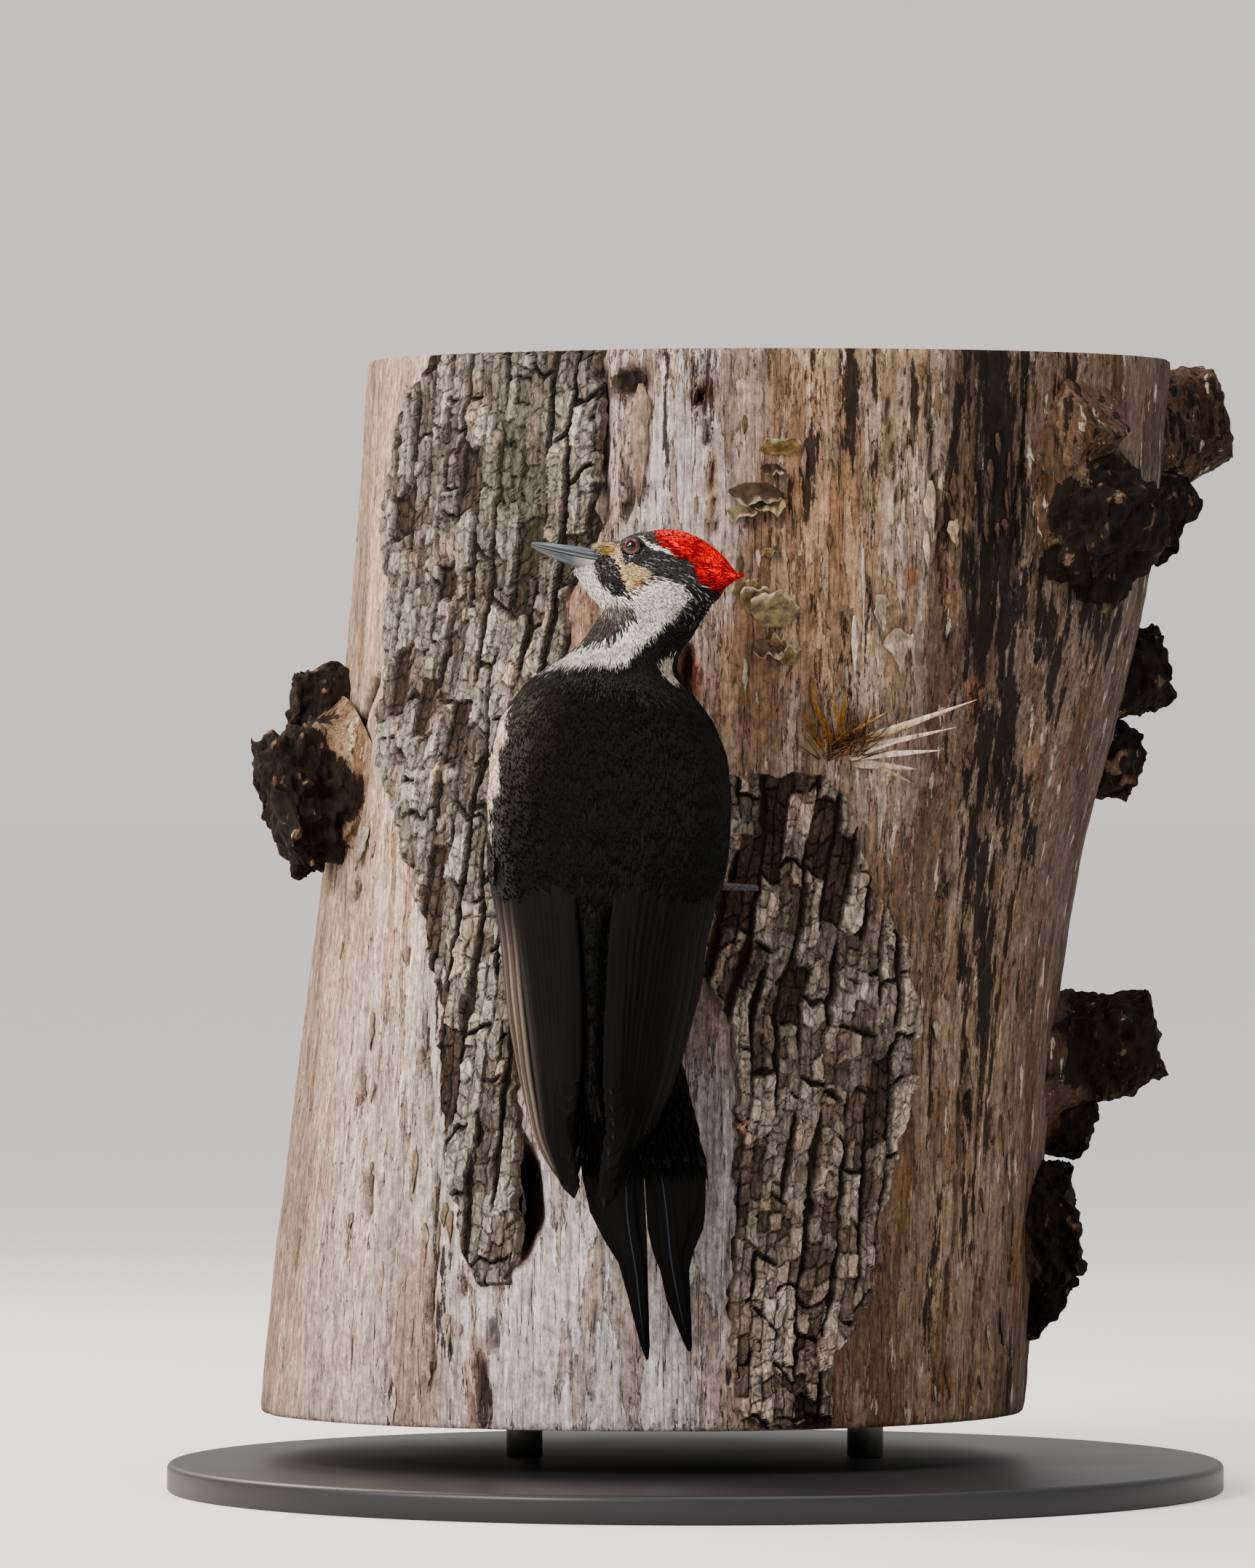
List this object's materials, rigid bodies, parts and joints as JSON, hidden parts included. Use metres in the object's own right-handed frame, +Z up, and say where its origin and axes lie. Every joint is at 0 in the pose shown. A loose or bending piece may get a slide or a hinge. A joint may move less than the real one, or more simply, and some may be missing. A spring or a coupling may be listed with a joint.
{
  "type": "pileated woodpecker",
  "caption": "Life-size female pileated woodpecker clinging to a cut length of dead trunk, head turned to its left, on a round display base with rods.",
  "frame": {"origin": "centre of the underside of the round display base", "axes": "+Z up along the trunk; the bird's back faces -Y; +X is the bird's right as it faces the trunk"},
  "size_m": [0.524, 0.524, 0.5631],
  "materials": {
    "black_plumage": "soft matt black feathers",
    "face_plumage": "soft matt feathers, white, buff and black",
    "red_plumage": "hair-like scarlet feathers",
    "bill_horn": "satin slate-blue horn",
    "claw_horn": "satin dark horn",
    "scaly_skin": "dull grey scaly skin",
    "eye": "wet gloss",
    "weathered_wood": "dry, grey-cream weathered wood",
    "bark": "rough grey-brown bark",
    "stand_board": "satin dark paint",
    "stand_steel": "brushed"
  },
  "bodies": {
    "root": {"body": "black_plumage", "neck": "black_plumage", "head": "face_plumage", "crest": "red_plumage", "bill_upper": "bill_horn", "bill_lower": "bill_horn", "eye_left": "eye", "eye_right": "eye", "wing_left": "black_plumage", "wing_right": "black_plumage", "primaries_left": "black_plumage", "primaries_right": "black_plumage", "tail_left": "black_plumage", "tail_right": "black_plumage", "thigh_left": "black_plumage", "thigh_right": "black_plumage", "tarsus_left": "scaly_skin", "tarsus_right": "scaly_skin", "foot_left": "scaly_skin", "foot_right": "scaly_skin", "claw_left_1": "claw_horn", "claw_left_2": "claw_horn", "claw_left_3": "claw_horn", "claw_left_4": "claw_horn", "claw_right_1": "claw_horn", "claw_right_2": "claw_horn", "claw_right_3": "claw_horn", "claw_right_4": "claw_horn", "perch_log": "weathered_wood", "bark_left": "bark", "bark_right": "bark", "bark_back": "bark", "stand_base": "stand_board", "stand_rod_left": "stand_steel", "stand_rod_right": "stand_steel"}
  },
  "joints": []
}
